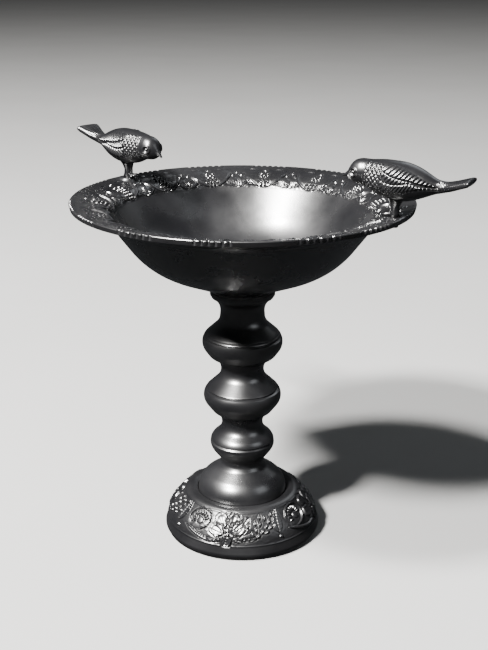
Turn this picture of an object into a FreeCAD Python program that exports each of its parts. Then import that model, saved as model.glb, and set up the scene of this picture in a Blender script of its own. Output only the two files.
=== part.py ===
import FreeCAD, Part
import math
import os
import re

import Sketcher

# Cast aluminium bird bath: a turned column on a round foot, a lift-off bowl with a decorated rim
# and two cast birds that stand on the rim.

# Driving dimensions in millimetres, or degrees where the name says so.
SIZES = {
    # foot casting, outside going up, then the recess that takes the bell
    "foot_base_radius": 129.5,
    "foot_radius": 133.5,
    "plinth_low": 8,
    "plinth_top": 11.5,
    "plinth_step_radius": 132,
    "plinth_step_height": 16,
    "flank_radius": 125,
    "flank_height": 40,
    "flank_round": 49,
    "crest_radius": 93,
    "crest_height": 75.8,
    "crest_round": 14.6,
    "recess_radius": 77.5,
    "recess_height": 72.5,
    "ledge_height": 62,
    "ledge_bore": 66,
    "ledge_thickness": 6,
    "ledge_inner_radius": 84,
    "foot_wall": 6,
    # column: corners of its outline from the bell to the collar, each with its rounding
    "bell_radius": 76,
    "bell_shoulder_radius": 72.5,
    "bell_shoulder_height": 94,
    "bell_shoulder_round": 38,
    "bell_throat_radius": 41.5,
    "bell_throat_height": 115.3,
    "bell_throat_round": 12,
    "low_neck_radius": 34.5,
    "low_neck_height": 126.1,
    "low_neck_round": 11,
    "low_bulb_under_radius": 49.7,
    "low_bulb_under_height": 145.6,
    "low_bulb_under_round": 13.8,
    "low_bulb_radius": 60.5,
    "low_bulb_height": 163.6,
    "low_bulb_round": 20.3,
    "waist_radius": 19.7,
    "waist_height": 198.7,
    "waist_round": 21.9,
    "mid_bulb_under_radius": 49.7,
    "mid_bulb_under_height": 217.2,
    "mid_bulb_under_round": 20.9,
    "mid_bulb_radius": 72.8,
    "mid_bulb_height": 247.6,
    "mid_bulb_round": 22,
    "mid_neck_radius": 19.5,
    "mid_neck_height": 298.4,
    "mid_neck_round": 22.5,
    "top_bulb_under_radius": 54.5,
    "top_bulb_under_height": 315.3,
    "top_bulb_under_round": 16.4,
    "top_bulb_radius": 74.9,
    "top_bulb_height": 343.6,
    "top_bulb_round": 23.3,
    "throat_low_radius": 37.8,
    "throat_low_height": 377.2,
    "throat_low_round": 22.9,
    "throat_top_radius": 35.9,
    "throat_top_height": 407.9,
    "throat_top_round": 25.5,
    "collar_foot_radius": 51,
    "collar_foot_height": 417.8,
    "collar_radius": 53.7,
    "collar_low": 422.2,
    "collar_top": 428.2,
    "column_wall": 6.5,
    # seams between the column castings
    "low_seam": 162.6,
    "mid_seam": 257.5,
    "top_seam": 349.3,
    "low_seam_radius": 54.3,
    "mid_seam_radius": 61.7,
    "top_seam_radius": 65.3,
    "seam_gap": 2,
    "seam_depth": 2,
    "line_gap": 1,
    "line_depth": 1.2,
    "top_line_height": 354.7,
    "top_line_radius": 62.3,
    "spigot_inset": 4.2,
    "spigot_length": 4,
    "spigot_thickness": 3,
    "spigot_clearance": 0.2,
    # seat of the bowl
    "web_bottom": 381,
    "web_top": 389,
    "socket_radius": 27.5,
    "collar_recess_radius": 43,
    "collar_recess_bottom": 419.5,
    "gasket_inner": 44,
    "gasket_outer": 52,
    "seat_height": 430.2,
    "plug_radius": 27,
    "plug_bottom": 407,
    "plug_wall": 6,
    # bowl
    "bowl_foot_radius": 54.5,
    "bowl_foot_top": 430.8,
    "dish_start_radius": 66,
    "dish_start_height": 438.2,
    "dish_start_round": 25,
    "dish_corner_radius": 158.3,
    "dish_corner_height": 475.1,
    "dish_corner_round": 143,
    "cove_radius": 218.5,
    "cove_height": 555.5,
    "cove_round": 25,
    "lip_under_radius": 273.5,
    "lip_under_height": 573.7,
    "rim_radius": 276,
    "rim_height": 583,
    "band_inner_radius": 217.5,
    "band_inner_height": 567.9,
    "band_inner_round": 28,
    "inside_corner_radius": 155,
    "inside_corner_height": 479.2,
    "inside_corner_round": 138,
    "floor_radius": 58.3,
    "floor_height": 440.5,
    "floor_round": 60,
    # tie rod and its hardware
    "rod_radius": 5,
    "rod_bottom": 36,
    "rod_top": 403,
    "rod_hole_radius": 5.5,
    "nut_across_corners": 18.5,
    "nut_height": 8,
    "washer_radius": 10.5,
    "washer_thickness": 2,
    "plate_radius": 78,
    "plate_thickness": 4,
    # birds, each measured from the point where it stands
    "bird_leg_height": 26,
    "bird_leg_radius": 9.5,
    "bird_body_length": 114,
    "bird_body_width": 58,
    "bird_body_depth": 60,
    "bird_body_rise": 28,
    "bird_body_advance": 0,
    "bird_head_advance": 58,
    "bird_head_rise": 34.5,
    "bird_head_length": 40,
    "bird_head_width": 36,
    "bird_head_depth": 38,
    "bird_beak_length": 14,
    "bird_beak_radius": 5.5,
    "bird_beak_droop_deg": 38,
    "bird_neck_radius": 20,
    "bird_tail_start": 30,
    "bird_tail_end": 112,
    "bird_tail_rise": 42,
    "bird_tail_root_width": 22,
    "bird_tail_root_depth": 20,
    "bird_tail_end_width": 47,
    "bird_tail_end_depth": 9,
    "bird_toe_length": 30,
    "bird_toe_width": 20,
    "bird_toe_height": 7,
    "left_bird_distance": 257,
    "left_bird_azimuth_deg": 140.5,
    "left_bird_heading_deg": -44,
    "left_bird_pitch_deg": -3,
    "right_bird_distance": 260,
    "right_bird_azimuth_deg": -29.5,
    "right_bird_heading_deg": 153,
    "right_bird_pitch_deg": 3,
    # each bird's screw, between a flat pad on the rim and a spot face under it
    "pad_radius": 12,
    "spot_face_radius": 8.5,
    "spot_face_height": 571,
    "screw_radius": 3,
    "screw_hole_radius": 3.3,
    "screw_grip": 14,
    "screw_head_across_corners": 11.5,
    "screw_head_height": 3,
    "screw_washer_radius": 6.5,
    "screw_washer_thickness": 1.6,
}

doc = FreeCAD.newDocument("BirdBath")
sheet = doc.addObject("Spreadsheet::Sheet", "Sizes")
for row, (size_name, size_value) in enumerate(SIZES.items(), start=1):
    sheet.set(f"A{row}", size_name)
    sheet.set(f"B{row}", str(size_value))
    sheet.setAlias(f"B{row}", size_name)
doc.recompute()

parts = []


def cell(text):
    """The text of an expression, with each size's name pointed at the sheet."""
    return re.sub(r"[a-z]\w*", lambda word: f"Sizes.{word[0]}" if word[0] in SIZES else word[0], text)


def value(text):
    """The number that an expression gives now."""
    number = sheet.evalExpression(cell(text))
    return float(getattr(number, "Value", number))


def bind(obj, **properties):
    """Bind properties of an object to expressions of the sheet."""
    for name, text in properties.items():
        obj.setExpression(name.replace("__", "."), cell(text))


def keep(obj, node):
    """Name an object as one of the finished pieces."""
    obj.Label = node
    parts.append(obj)
    return obj


# ---------------------------------------------------------------- sketches


def plane(body, role):
    return next(f for f in body.Origin.OriginFeatures if f.Role == role)


def corner_round(previous, corner, following, radius):
    """Arc of the given radius in a corner: its centre, its two tangent points and its turning sense."""
    into = (corner - previous).normalize()
    out = (following - corner).normalize()
    turn = math.atan2(into.x * out.y - into.y * out.x, into.dot(out))
    reach = radius * math.tan(abs(turn) / 2)
    start = corner - into * reach
    end = corner + out * reach
    side = math.copysign(1, turn)
    centre = start + FreeCAD.Vector(-into.y, into.x, 0) * (side * radius)
    return centre, start, end, side


def half_section(body, name, corners):
    """Closed half section in the XZ plane from corners (radius, height) or (radius, height, rounding)."""
    sketch = body.newObject("Sketcher::SketchObject", name)
    sketch.AttachmentSupport = [(plane(body, "XZ_Plane"), "")]
    sketch.MapMode = "FlatFace"
    count = len(corners)
    points = [FreeCAD.Vector(value(c[0]), value(c[1]), 0) for c in corners]
    arcs = []
    for i, corner in enumerate(corners):
        if len(corner) == 3:
            arcs.append(corner_round(points[i - 1], points[i], points[(i + 1) % count], value(corner[2])))
        else:
            arcs.append(None)

    for i in range(count):
        following = (i + 1) % count
        start = arcs[i][2] if arcs[i] else points[i]
        end = arcs[following][1] if arcs[following] else points[following]
        sketch.addGeometry(Part.LineSegment(start, end), False)

    rules = []
    names = []

    def rule(constraint_name, *what):
        rules.append(Sketcher.Constraint(*what))
        names.append(constraint_name)

    bound = {}
    for i, corner in enumerate(corners):
        before = (i - 1) % count
        if arcs[i]:
            centre, start, end, side = arcs[i]
            circle = Part.Circle(centre, FreeCAD.Vector(0, 0, 1), value(corner[2]))
            first, last = (start, end) if side > 0 else (end, start)
            low = math.atan2(first.y - centre.y, first.x - centre.x)
            high = math.atan2(last.y - centre.y, last.x - centre.x)
            arc = sketch.addGeometry(Part.ArcOfCircle(circle, low, high), False)
            place = (sketch.addGeometry(Part.Point(points[i]), True), 1)
            near, far = (1, 2) if side > 0 else (2, 1)
            rule(None, "Tangent", before, 2, arc, near)
            rule(None, "Tangent", i, 1, arc, far)
            rule(None, "PointOnObject", place[0], 1, before)
            rule(None, "PointOnObject", place[0], 1, i)
            rule(f"round_{i}", "Radius", arc, value(corner[2]))
            bound[f"round_{i}"] = corner[2]
        else:
            place = (i, 1)
            rule(None, "Coincident", before, 2, i, 1)
        if value(corner[0]) == 0:
            rule(None, "PointOnObject", place[0], place[1], -2)
        else:
            rule(f"radius_{i}", "DistanceX", -1, 1, place[0], place[1], points[i].x)
            bound[f"radius_{i}"] = corner[0]
        rule(f"height_{i}", "DistanceY", -1, 1, place[0], place[1], points[i].y)
        bound[f"height_{i}"] = corner[1]

    first = sketch.addConstraint(rules)[0]
    for offset, constraint_name in enumerate(names):
        if constraint_name:
            sketch.renameConstraint(first + offset, constraint_name)
    for constraint_name, text in bound.items():
        sketch.setExpression(f"Constraints.{constraint_name}", cell(text))
    return sketch


def turned(name, corners):
    """Body of revolution about the Z axis from a closed half section."""
    body = doc.addObject("PartDesign::Body", name)
    sketch = half_section(body, f"{name}_section", corners)
    revolution = body.newObject("PartDesign::Revolution", f"{name}_turned")
    revolution.Profile = sketch
    revolution.ReferenceAxis = (sketch, ["V_Axis"])
    revolution.Angle = 360
    return body


def grooved(body, name, corners):
    """Ring cut round a turned body."""
    sketch = half_section(body, f"{name}_section", corners)
    groove = body.newObject("PartDesign::Groove", name)
    groove.Profile = sketch
    groove.ReferenceAxis = (sketch, ["V_Axis"])
    groove.Angle = 360
    return groove


# ---------------------------------------------------------------- primitives and booleans


def cylinder(name, radius, bottom, top, at=("0", "0")):
    obj = doc.addObject("Part::Cylinder", name)
    bind(obj, Radius=radius, Height=f"{top} - ( {bottom} )")
    bind(obj, Placement__Base__x=at[0], Placement__Base__y=at[1], Placement__Base__z=bottom)
    return obj


def hexagon(name, across_corners, bottom, top, at=("0", "0")):
    obj = doc.addObject("Part::Prism", name)
    obj.Polygon = 6
    bind(obj, Circumradius=f"{across_corners} / 2", Height=f"{top} - ( {bottom} )")
    bind(obj, Placement__Base__x=at[0], Placement__Base__y=at[1], Placement__Base__z=bottom)
    return obj


def ellipsoid(name, length, width, depth, ahead, rise):
    """Ellipsoid in a bird's own frame: +X is the way it faces."""
    obj = doc.addObject("Part::Ellipsoid", name)
    bind(obj, Radius2=f"{length} / 2", Radius3=f"{width} / 2", Radius1=f"{depth} / 2")
    bind(obj, Placement__Base__x=ahead, Placement__Base__z=rise)
    return obj


def cut(name, base, tool):
    obj = doc.addObject("Part::Cut", name)
    obj.Base = base
    obj.Tool = tool
    return obj


def common(name, *shapes):
    obj = doc.addObject("Part::MultiCommon", name)
    obj.Shapes = list(shapes)
    return obj


def fuse(name, *shapes):
    obj = doc.addObject("Part::MultiFuse", name)
    obj.Shapes = list(shapes)
    return obj


def tube(name, outer, inner, bottom, top, at=("0", "0")):
    wall = cylinder(f"{name}_outside", outer, bottom, top, at)
    bore = cylinder(f"{name}_bore", inner, f"{bottom} - 1", f"{top} + 1", at)
    return cut(name, wall, bore)


# ---------------------------------------------------------------- foot


def make_foot():
    """Hollow round foot with a recess in its top for the bell."""
    corners = [
        ("foot_base_radius", "0"),
        ("foot_radius", "plinth_low", "3"),
        ("foot_radius", "plinth_top"),
        ("plinth_step_radius", "plinth_step_height"),
        ("flank_radius", "flank_height", "flank_round"),
        ("crest_radius", "crest_height", "crest_round"),
        ("recess_radius", "recess_height"),
        ("recess_radius", "ledge_height"),
        ("ledge_bore", "ledge_height"),
        ("ledge_bore", "ledge_height - ledge_thickness"),
        ("ledge_inner_radius", "ledge_height - ledge_thickness", "4"),
        ("crest_radius - 1", "crest_height - 1.4 * foot_wall", "3"),
        ("flank_radius - foot_wall", "flank_height - 0.4 * foot_wall", "flank_round - foot_wall"),
        ("foot_base_radius - foot_wall + 1", "0"),
    ]
    keep(turned("foot_casting", corners), "foot_ring")


# ---------------------------------------------------------------- column

COLUMN_CORNERS = [
    ("bell_radius", "ledge_height"),
    ("bell_radius", "recess_height"),
    ("bell_shoulder_radius", "bell_shoulder_height", "bell_shoulder_round"),
    ("bell_throat_radius", "bell_throat_height", "bell_throat_round"),
    ("low_neck_radius", "low_neck_height", "low_neck_round"),
    ("low_bulb_under_radius", "low_bulb_under_height", "low_bulb_under_round"),
    ("low_bulb_radius", "low_bulb_height", "low_bulb_round"),
    ("waist_radius", "waist_height", "waist_round"),
    ("mid_bulb_under_radius", "mid_bulb_under_height", "mid_bulb_under_round"),
    ("mid_bulb_radius", "mid_bulb_height", "mid_bulb_round"),
    ("mid_neck_radius", "mid_neck_height", "mid_neck_round"),
    ("top_bulb_under_radius", "top_bulb_under_height", "top_bulb_under_round"),
    ("top_bulb_radius", "top_bulb_height", "top_bulb_round"),
    ("throat_low_radius", "throat_low_height", "throat_low_round"),
]

SEAMS = ["low_seam", "mid_seam", "top_seam"]


def column_outline():
    """The whole column as one solid of revolution, with the grooves that mark its seams."""
    corners = COLUMN_CORNERS + [
        ("throat_top_radius", "throat_top_height", "throat_top_round"),
        ("collar_foot_radius", "collar_foot_height"),
        ("collar_radius", "collar_low", "2"),
        ("collar_radius", "collar_top", "0.8"),
        ("0", "collar_top"),
        ("0", "ledge_height"),
    ]
    body = turned("column_outline", corners)
    for seam in SEAMS:
        inner = f"{seam}_radius - seam_depth"
        outer = f"{seam}_radius + 20"
        low = f"{seam} - seam_gap / 2"
        high = f"{seam} + seam_gap / 2"
        grooved(body, f"{seam}_groove", [(inner, low), (outer, low), (outer, high), (inner, high)])
    for line, radius, top in (
        ("collar_line", "collar_foot_radius", "collar_foot_height"),
        ("top_line", "top_line_radius", "top_line_height"),
    ):
        inner = f"{radius} - line_depth"
        outer = f"{radius} + 8"
        low = f"{top} - line_gap"
        grooved(body, line, [(inner, low), (outer, low), (outer, top), (inner, top)])
    return body


def column_core():
    """The hollow inside the column: its outline moved in by the wall, up to the web below the seat."""
    corners = [("0", "ledge_height - 1"), ("bell_radius - column_wall", "ledge_height - 1")]
    for radius, height, *rounding in COLUMN_CORNERS[2:]:
        corners.append((f"{radius} - column_wall", height, *rounding))
    corners += [("throat_low_radius - column_wall - 1.5", "web_bottom + 20"), ("0", "web_bottom + 20")]
    return turned("column_core", corners)


def make_column():
    """Four hollow castings stacked on the foot, each standing in the mouth of the one below."""
    outline = column_outline()
    core = column_core()
    levels = ["ledge_height", "low_seam", "mid_seam", "top_seam", "collar_top"]
    nodes = ["bell", "lower_baluster", "middle_baluster", "upper_baluster"]
    for index, node in enumerate(nodes):
        low, high = levels[index], levels[index + 1]
        slab = cylinder(f"{node}_slab", "bell_radius + 30", low, high)
        shell = common(f"{node}_outside", outline, slab)
        if high == "collar_top":
            hollow_slab = cylinder(f"{node}_hollow_slab", "bell_radius + 30", f"{low} - 1", "web_bottom")
        else:
            hollow_slab = cylinder(f"{node}_hollow_slab", "bell_radius + 30", f"{low} - 1", f"{high} + 1")
        piece = cut(f"{node}_shell", shell, common(f"{node}_hollow", core, hollow_slab))
        if high in SEAMS:
            mouth_bottom = f"{high} - spigot_length - 1"
            mouth = cylinder(f"{node}_mouth", f"{high}_radius - spigot_inset", mouth_bottom, f"{high} + 1")
            piece = cut(f"{node}_with_mouth", piece, mouth)
        if low in SEAMS:
            spigot_radius = f"{low}_radius - spigot_inset - spigot_clearance"
            spigot = tube(
                f"{node}_spigot",
                spigot_radius,
                f"{spigot_radius} - spigot_thickness",
                f"{low} - spigot_length",
                f"{low} + 2",
            )
            piece = fuse(f"{node}_with_spigot", piece, spigot)
        if high == "collar_top":
            above = "collar_top + 1"
            rod_hole = cylinder("web_hole", "rod_hole_radius", "web_bottom - 1", "web_top + 1")
            socket = cylinder("bowl_socket", "socket_radius", "web_top", above)
            recess = cylinder("collar_recess", "collar_recess_radius", "collar_recess_bottom", above)
            socket_tools = fuse("socket_tools", rod_hole, socket, recess)
            piece = cut("upper_baluster_with_socket", piece, socket_tools)
        keep(piece, node)


# ---------------------------------------------------------------- tie rod and seat


def make_tie_rod():
    """Threaded rod that clamps the column between a plate under the foot and the web below the bowl."""
    plate_top = "ledge_height - ledge_thickness"
    plate_bottom = f"{plate_top} - plate_thickness"
    low_washer = f"{plate_bottom} - washer_thickness"
    low_nut = f"{low_washer} - nut_height"
    high_nut = "web_top + washer_thickness"
    keep(tube("clamp_disc", "plate_radius", "rod_hole_radius", plate_bottom, plate_top), "clamp_plate")
    keep(cylinder("rod", "rod_radius", "rod_bottom", "rod_top"), "tie_rod")
    keep(tube("low_ring", "washer_radius", "rod_hole_radius", low_washer, plate_bottom), "lower_washer")
    keep(tube("high_ring", "washer_radius", "rod_hole_radius", "web_top", high_nut), "upper_washer")
    for node, bottom in (("lower_nut", low_nut), ("upper_nut", high_nut)):
        top = f"{bottom} + nut_height"
        block = hexagon(f"{node}_block", "nut_across_corners", bottom, top)
        thread = cylinder(f"{node}_thread", "rod_radius", f"{bottom} - 1", f"{top} + 1")
        keep(cut(f"{node}_cut", block, thread), node)


def make_gasket():
    keep(tube("gasket_ring", "gasket_outer", "gasket_inner", "collar_top", "seat_height"), "seat_gasket")


# ---------------------------------------------------------------- bowl and birds


def standing_point(side):
    """Where a bird stands on the rim."""
    azimuth = f"{side}_bird_azimuth_deg"
    distance = f"{side}_bird_distance"
    return f"{distance} * cos( {azimuth} * 1deg )", f"{distance} * sin( {azimuth} * 1deg )"


def make_bowl():
    """Turned dish with a sloping rim and a hollow plug, and a pad and a spot face for each bird."""
    corners = [
        ("0", "floor_height"),
        ("0", "seat_height"),
        ("plug_radius - plug_wall", "seat_height"),
        ("plug_radius - plug_wall", "plug_bottom"),
        ("plug_radius", "plug_bottom", "1.5"),
        ("plug_radius", "seat_height"),
        ("bowl_foot_radius", "seat_height"),
        ("bowl_foot_radius", "bowl_foot_top"),
        ("dish_start_radius", "dish_start_height", "dish_start_round"),
        ("dish_corner_radius", "dish_corner_height", "dish_corner_round"),
        ("cove_radius", "cove_height", "cove_round"),
        ("lip_under_radius", "lip_under_height", "2"),
        ("rim_radius", "rim_height", "2"),
        ("band_inner_radius", "band_inner_height", "band_inner_round"),
        ("inside_corner_radius", "inside_corner_height", "inside_corner_round"),
        ("floor_radius", "floor_height", "floor_round"),
    ]
    dish = turned("dish", corners)
    pads = []
    holes = []
    for side in ("left", "right"):
        at = standing_point(side)
        face = "spot_face_height"
        pads.append(cylinder(f"{side}_pad", "pad_radius", face, "rim_height", at))
        holes.append(cylinder(f"{side}_hole", "screw_hole_radius", f"{face} - 1", "rim_height + 1", at))
        holes.append(cylinder(f"{side}_spot_face", "spot_face_radius", f"{face} - 15", face, at))
    solid = fuse("dish_with_pads", dish, *pads)
    keep(cut("bowl_casting", solid, fuse("screw_holes", *holes)), "bowl")


def tilted(obj, axis, angle):
    """Turn an object about an axis through its own origin."""
    bind(obj, Placement__Rotation__Angle=angle)
    obj.Placement.Rotation.Axis = axis


def make_bird(side):
    """Standing bird: its torso is built about the hip, facing +X, and pitched, then all of it is turned."""
    sideways = FreeCAD.Vector(0, 1, 0)
    upright = FreeCAD.Vector(0, 0, 1)
    body = ellipsoid(
        f"{side}_body",
        "bird_body_length",
        "bird_body_width",
        "bird_body_depth",
        "bird_body_advance",
        "bird_body_rise",
    )
    head = ellipsoid(
        f"{side}_head",
        "bird_head_length",
        "bird_head_width",
        "bird_head_depth",
        "bird_head_advance",
        "bird_head_rise",
    )
    neck = doc.addObject("Part::Cone", f"{side}_neck")
    bind(neck, Radius1="bird_neck_radius + 5", Radius2="bird_neck_radius - 3")
    bind(neck, Height="bird_head_advance * 0.55")
    bind(neck, Placement__Base__x="bird_head_advance * 0.4", Placement__Base__z="bird_body_rise + 2")
    tilted(neck, sideways, "86deg")
    beak = doc.addObject("Part::Cone", f"{side}_beak")
    bind(beak, Radius1="bird_beak_radius", Radius2="0.8", Height="bird_beak_length + 4")
    bind(beak, Placement__Base__x="bird_head_advance + bird_head_length / 2 - 4")
    bind(beak, Placement__Base__z="bird_head_rise - 3")
    tilted(beak, sideways, "( 90 + bird_beak_droop_deg ) * 1deg")
    tail = doc.addObject("Part::Wedge", f"{side}_tail")
    bind(tail, Xmin="-0.5 * bird_tail_root_width", Xmax="0.5 * bird_tail_root_width")
    bind(tail, X2min="-0.5 * bird_tail_end_width", X2max="0.5 * bird_tail_end_width")
    bind(tail, Zmin="bird_body_rise - 0.5 * bird_tail_root_depth")
    bind(tail, Zmax="bird_body_rise + 0.5 * bird_tail_root_depth")
    bind(tail, Z2min="bird_tail_rise - 0.5 * bird_tail_end_depth")
    bind(tail, Z2max="bird_tail_rise + 0.5 * bird_tail_end_depth")
    bind(tail, Ymin="bird_tail_start", Ymax="bird_tail_end")
    tilted(tail, upright, "90deg")
    torso = fuse(f"{side}_torso", body, head, neck, beak, tail)
    bind(torso, Placement__Base__z="bird_leg_height")
    tilted(torso, sideways, f"-1deg * {side}_bird_pitch_deg")
    leg = cylinder(f"{side}_leg", "bird_leg_radius", "0", "bird_leg_height + 8")
    toes = doc.addObject("Part::Box", f"{side}_toes")
    bind(toes, Length="bird_toe_length", Width="bird_toe_width", Height="bird_toe_height")
    bind(toes, Placement__Base__x="-0.4 * bird_toe_length", Placement__Base__y="-0.5 * bird_toe_width")
    tapped = cylinder(f"{side}_tapped_hole", "screw_radius", "-1", "screw_grip")
    casting = cut(f"{side}_bird_casting", fuse(f"{side}_bird_solid", torso, leg, toes), tapped)
    east, north = standing_point(side)
    bind(casting, Placement__Base__x=east, Placement__Base__y=north, Placement__Base__z="rim_height")
    tilted(casting, upright, f"{side}_bird_heading_deg * 1deg")
    keep(casting, f"{side}_bird")


def make_bird_screws():
    """One hexagon screw and washer below each bird."""
    screws = []
    washers = []
    head_top = "spot_face_height - screw_washer_thickness"
    for side in ("left", "right"):
        at = standing_point(side)
        head_bottom = f"{head_top} - screw_head_height"
        tip = "rim_height + screw_grip - 1"
        head = hexagon(f"{side}_screw_head", "screw_head_across_corners", head_bottom, head_top, at)
        shank = cylinder(f"{side}_screw_shank", "screw_radius", f"{head_top} - 1", tip, at)
        screws.append(fuse(f"{side}_screw", head, shank))
        ring = (f"{side}_screw_washer", "screw_washer_radius", "screw_hole_radius")
        washers.append(tube(*ring, head_top, "spot_face_height", at))
    keep(fuse("screw_pair", *screws), "bird_screws")
    keep(fuse("washer_pair", *washers), "bird_washers")


make_foot()
make_column()
make_tie_rod()
make_gasket()
make_bowl()
make_bird("left")
make_bird("right")
make_bird_screws()
doc.recompute()

for obj in doc.Objects:
    if {"Invalid", "Error"} & set(obj.State):
        raise RuntimeError(f"{obj.Name} did not build: {obj.State}")
for sketch in doc.findObjects("Sketcher::SketchObject"):
    if not sketch.FullyConstrained:
        raise RuntimeError(f"{sketch.Name} isn't fully constrained")
os.makedirs("parts", exist_ok=True)
for part in parts:
    if part.Shape.isNull() or not part.Shape.isValid():
        raise RuntimeError(f"{part.Label} has no valid shape")
    part.Shape.exportStep(f"parts/{part.Label}.step")
    box = part.Shape.BoundBox
    solids = len(part.Shape.Solids)
    litres = part.Shape.Volume / 1e6
    print(f"{part.Label}: {solids} solid(s), {litres:.4f} l, z {box.ZMin:.1f} to {box.ZMax:.1f}")
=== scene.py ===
import math

import bpy
import numpy as np
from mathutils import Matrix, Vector


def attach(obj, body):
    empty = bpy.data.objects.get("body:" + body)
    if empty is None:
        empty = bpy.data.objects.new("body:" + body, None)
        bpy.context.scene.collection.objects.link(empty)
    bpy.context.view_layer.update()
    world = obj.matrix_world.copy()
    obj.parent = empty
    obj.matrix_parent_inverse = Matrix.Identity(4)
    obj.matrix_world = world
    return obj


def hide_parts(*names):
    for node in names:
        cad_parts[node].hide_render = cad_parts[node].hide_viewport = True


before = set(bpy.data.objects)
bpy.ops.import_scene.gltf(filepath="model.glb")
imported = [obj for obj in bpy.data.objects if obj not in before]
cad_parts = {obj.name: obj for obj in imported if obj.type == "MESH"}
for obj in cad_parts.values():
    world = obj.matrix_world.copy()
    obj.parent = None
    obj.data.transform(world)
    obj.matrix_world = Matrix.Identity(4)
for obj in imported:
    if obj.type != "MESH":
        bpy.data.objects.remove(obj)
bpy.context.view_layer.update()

# Cast aluminium bird bath in satin black paint. Lengths are in millimetres, apart from the ground that it
# stands on, the lights and the camera's place, which are in metres. Azimuths are degrees about +Z from
# the front (-Y) towards +X, except for the birds, whose angles are about +Z from +X.
MM = 0.001

# ---------------------------------------------------------------- sections, as in the CAD model
# A pair is a corner of a section as (radius, height).

RIM_RADIUS = 276
RIM_TOP = 583
LIP_UNDER = (273.5, 573.7)
BAND_INNER = (217.5, 567.9)
BAND_ROUND = 28
INSIDE_CORNER = (155, 479.2)
INSIDE_ROUND = 138
COVE = (218.5, 555.5)
COVE_ROUND = 25
DISH_CORNER = (158.3, 475.1)
DISH_ROUND = 143
DISH_FLOOR = (58.3, 440.5)
DISH_FLOOR_ROUND = 60
SEAT_HEIGHT = 430.2
PLUG_RADIUS = 27

FOOT_STEP = (132, 16)
FOOT_FLANK = (125, 40)
FOOT_CREST = (93, 75.8)
RECESS = (77.5, 72.5)
LEDGE_HEIGHT = 62
COLUMN_WALL = 6.5
COLLAR_TOP = 428.2
COLLAR_FOOT = (51, 417.8)
SEAMS = [162.6, 257.5, 349.3]
FINE_LINES = [354.2, 417.3]

# The column's outline from the bell up to the collar: radius, height and the rounding of the corner.
OUTLINE = [
    (76, 62),
    (76, 72.5),
    (72.5, 94, 38),
    (41.5, 115.3, 12),
    (34.5, 126.1, 11),
    (49.7, 145.6, 13.8),
    (60.5, 163.6, 20.3),
    (19.7, 198.7, 21.9),
    (49.7, 217.2, 20.9),
    (72.8, 247.6, 22),
    (19.5, 298.4, 22.5),
    (54.5, 315.3, 16.4),
    (74.9, 343.6, 23.3),
    (37.8, 377.2, 22.9),
    (35.9, 407.9, 25.5),
    COLLAR_FOOT,
]


def unit(vector):
    """The vector's direction, with a length of one."""
    return vector / np.linalg.norm(vector)


def outline(corners, closed=False, arc_step=1.5):
    """Points (radius, height) along straight runs and rounded corners (radius, height[, rounding])."""
    places = [np.array(corner[:2], float) for corner in corners]
    count = len(corners)
    points = []
    for i, corner in enumerate(corners):
        rounded = len(corner) == 3 and (closed or 0 < i < count - 1)
        if not rounded:
            points.append(places[i])
            continue
        into = unit(places[i] - places[i - 1])
        out = unit(places[(i + 1) % count] - places[i])
        turn = math.atan2(into[0] * out[1] - into[1] * out[0], into @ out)
        reach = corner[2] * math.tan(abs(turn) / 2)
        start = places[i] - into * reach
        side = math.copysign(1, turn)
        centre = start + np.array([-into[1], into[0]]) * side * corner[2]
        spoke = start - centre
        steps = max(2, round(abs(turn) * corner[2] / arc_step))
        for k in range(steps + 1):
            c, s = math.cos(turn * k / steps), math.sin(turn * k / steps)
            points.append(centre + np.array([c * spoke[0] - s * spoke[1], s * spoke[0] + c * spoke[1]]))
    return np.array(points)


def lengths(points):
    """Distance along a run of points, from its start."""
    return np.concatenate([[0], np.cumsum(np.hypot(*np.diff(points, axis=0).T))])


def spaced(points, step):
    """The same run with evenly spaced points, about one step apart."""
    along = lengths(points)
    count = max(2, round(along[-1] / step) + 1)
    wanted = np.linspace(0, along[-1], count)
    return np.column_stack([np.interp(wanted, along, points[:, k]) for k in range(2)])


def between(points, low, high):
    """The stretch of an upward run between two heights."""
    clear = 0.2
    inside = points[(points[:, 1] > low + clear) & (points[:, 1] < high - clear)]
    ends = [(np.interp(z, points[:, 1], points[:, 0]), z) for z in (low, high)]
    return np.vstack([ends[:1], inside, ends[1:]])


def smooth_through(x, places, values):
    """Cubic curve through points, with each slope taken from the two neighbours."""
    places, values = np.asarray(places, float), np.asarray(values, float)
    slopes = np.gradient(values, places)
    i = np.clip(np.searchsorted(places, x) - 1, 0, len(places) - 2)
    span = places[i + 1] - places[i]
    t = np.clip((x - places[i]) / span, 0, 1)
    rise = values[i] * (1 + 2 * t) * (1 - t) ** 2 + values[i + 1] * t * t * (3 - 2 * t)
    return rise + span * (slopes[i] * t * (1 - t) ** 2 + slopes[i + 1] * t * t * (t - 1))


# ---------------------------------------------------------------- meshes


def add_mesh(name, vertices, faces, sharp_degrees=35):
    """Smooth-shaded mesh object from points in millimetres, with sharp edges where it turns hard."""
    mesh = bpy.data.meshes.new(name)
    mesh.from_pydata((np.asarray(vertices) * MM).tolist(), [], faces)
    mesh.validate()
    mesh.shade_smooth()
    if sharp_degrees:
        mesh.set_sharp_from_angle(angle=math.radians(sharp_degrees))
    obj = bpy.data.objects.new(name, mesh)
    bpy.context.scene.collection.objects.link(obj)
    return obj


def grid_faces(rows, columns, closed_rows):
    """Quads of a grid whose columns go all the way round, and whose rows do too if closed."""
    last = rows if closed_rows else rows - 1
    i, j = np.meshgrid(np.arange(last), np.arange(columns), indexing="ij")
    up, right = (i + 1) % rows, (j + 1) % columns
    quads = np.stack([i * columns + j, i * columns + right, up * columns + right, up * columns + j], -1)
    return quads.reshape(-1, 4).tolist()


def azimuths(segments):
    """Angles of evenly spaced segments round one turn, in radians."""
    return 2 * math.pi * np.arange(segments) / segments


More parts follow.
